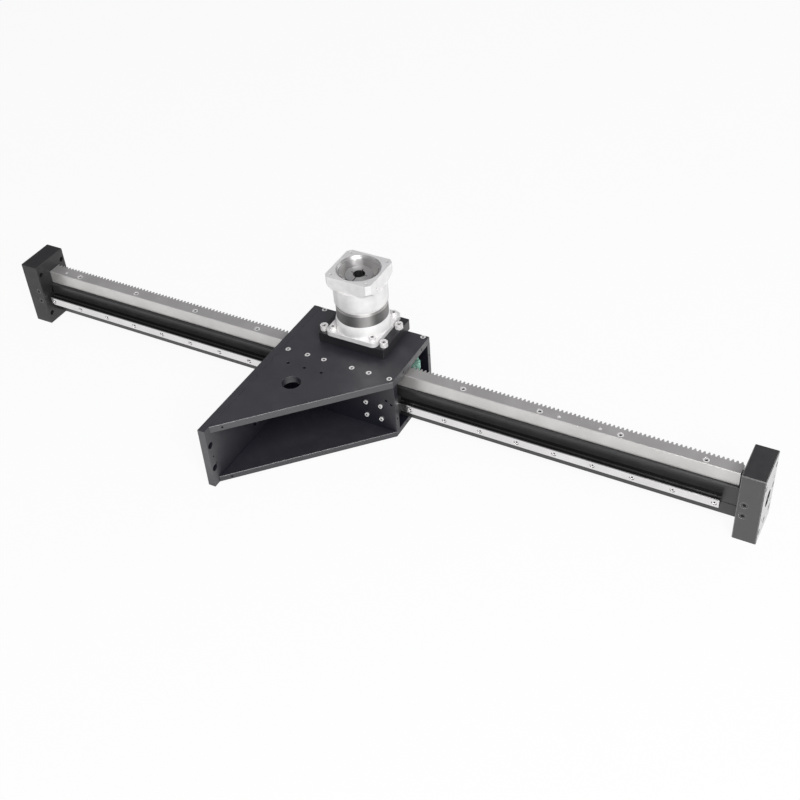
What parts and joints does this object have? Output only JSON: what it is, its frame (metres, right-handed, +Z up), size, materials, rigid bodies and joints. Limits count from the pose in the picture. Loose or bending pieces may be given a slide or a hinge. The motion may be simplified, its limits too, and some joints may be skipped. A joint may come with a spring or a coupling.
{
  "type": "rack and pinion linear module",
  "caption": "Linear axis with a helical rack and guide rail on a black beam, end blocks, and a box carriage of bolted plates driven by an upright planetary gearbox.",
  "frame": {"origin": "middle of the bounding box at rest, on the surface that the two end blocks stand on", "axes": "+X along the beam towards the right end block, +Y from the box carriage's front to the rack's teeth and the gearbox side, +Z up"},
  "size_m": [1.312, 0.3443, 0.2445],
  "materials": {
    "black_anodised": "black anodised, fine ground grain, broken edges",
    "rack_steel": "ground steel with hardened teeth",
    "rail_steel": "polished rail steel with dark raceways",
    "screw_steel": "plain steel socket screws",
    "cap_plastic": "moulded plastic, matt",
    "seal_rubber": "soft black rubber",
    "gearbox_silver": "pale satin metal",
    "ring_steel": "dark satin turned steel",
    "shaft_steel": "hardened steel, fine ground",
    "green_felt": "dense oiled felt",
    "hub_aluminium": "turned aluminium"
  },
  "bodies": {
    "beam": {"beam_profile": "black_anodised", "rack_long": "rack_steel", "rack_short": "rack_steel", "rack_screws": "screw_steel", "rack_dowels": "screw_steel", "guide_rail": "rail_steel", "rail_screws": "screw_steel", "end_block_left": "black_anodised", "end_block_right": "black_anodised", "end_block_screws": "screw_steel", "block_side_screws": "screw_steel"},
    "carriage": {"top_plate": "black_anodised", "bottom_plate": "black_anodised", "guide_plate": "black_anodised", "back_plate": "black_anodised", "mounting_plate": "black_anodised", "top_plate_screws": "screw_steel", "bottom_plate_screws": "screw_steel", "mounting_plate_screws": "screw_steel", "guide_block_left": "rail_steel", "guide_block_right": "rail_steel", "block_end_caps": "cap_plastic", "block_end_seals": "seal_rubber", "grease_nipples": "screw_steel", "guide_block_screws": "screw_steel", "adaptor_plate": "black_anodised", "adaptor_screws": "screw_steel", "gearbox_flange_screws": "screw_steel", "output_housing": "gearbox_silver", "ring_gear": "ring_steel", "input_housing": "gearbox_silver", "motor_flange": "gearbox_silver", "access_plug": "screw_steel", "output_seal": "seal_rubber", "output_bearing_front": "shaft_steel", "output_bearing_back": "shaft_steel", "input_bearing": "shaft_steel", "felt_gear_axle": "shaft_steel"},
    "output": {"output_shaft": "shaft_steel", "planet_pins": "shaft_steel", "pinion_key": "shaft_steel", "pinion": "rack_steel", "pinion_washer": "screw_steel", "pinion_screw": "screw_steel"},
    "planet_1": {"planet_gear_1": "shaft_steel", "planet_needles_1": "shaft_steel"},
    "planet_2": {"planet_gear_2": "shaft_steel", "planet_needles_2": "shaft_steel"},
    "planet_3": {"planet_gear_3": "shaft_steel", "planet_needles_3": "shaft_steel"},
    "input": {"sun_gear": "shaft_steel", "input_hub": "shaft_steel", "clamp_collar": "shaft_steel", "clamp_screw": "screw_steel"},
    "felt": {"felt_gear": "green_felt", "felt_gear_hub": "hub_aluminium"}
  },
  "joints": [
    {"name": "carriage_slide", "type": "slide", "parent": "beam", "child": "carriage", "axis": [1, 0, 0], "range_m": [-0.497, 0.503]},
    {"name": "output_turn", "type": "hinge", "parent": "carriage", "child": "output", "pos_m": [0.001, 0.12786, 0.0844], "axis": [0, 0, 1], "range_deg": [-1359.1, 1342.9]},
    {"name": "planet_1_turn", "type": "hinge", "parent": "output", "child": "planet_1", "pos_m": [0.001, 0.15036, 0.188], "axis": [0, 0, 1], "range_deg": [-3579.4, 3622.6]},
    {"name": "planet_2_turn", "type": "hinge", "parent": "output", "child": "planet_2", "pos_m": [-0.01849, 0.11661, 0.188], "axis": [0, 0, 1], "range_deg": [-3579.4, 3622.6]},
    {"name": "planet_3_turn", "type": "hinge", "parent": "output", "child": "planet_3", "pos_m": [0.02049, 0.11661, 0.188], "axis": [0, 0, 1], "range_deg": [-3579.4, 3622.6]},
    {"name": "input_turn", "type": "hinge", "parent": "carriage", "child": "input", "pos_m": [0.001, 0.12786, 0.219], "axis": [0, 0, 1], "range_deg": [-6791.5, 6710.5]},
    {"name": "felt_turn", "type": "hinge", "parent": "carriage", "child": "felt", "pos_m": [0.076, 0.12574, 0.0804], "axis": [0, 0, 1], "range_deg": [-1510, 1492]}
  ],
  "couplings": [
    {"joint": "output_turn", "follows": "carriage_slide", "rad_per_m": -47.124},
    {"joint": "planet_1_turn", "follows": "carriage_slide", "rad_per_m": 125.66},
    {"joint": "planet_2_turn", "follows": "carriage_slide", "rad_per_m": 125.66},
    {"joint": "planet_3_turn", "follows": "carriage_slide", "rad_per_m": 125.66},
    {"joint": "input_turn", "follows": "carriage_slide", "rad_per_m": -235.62},
    {"joint": "felt_turn", "follows": "carriage_slide", "rad_per_m": -52.36}
  ]
}
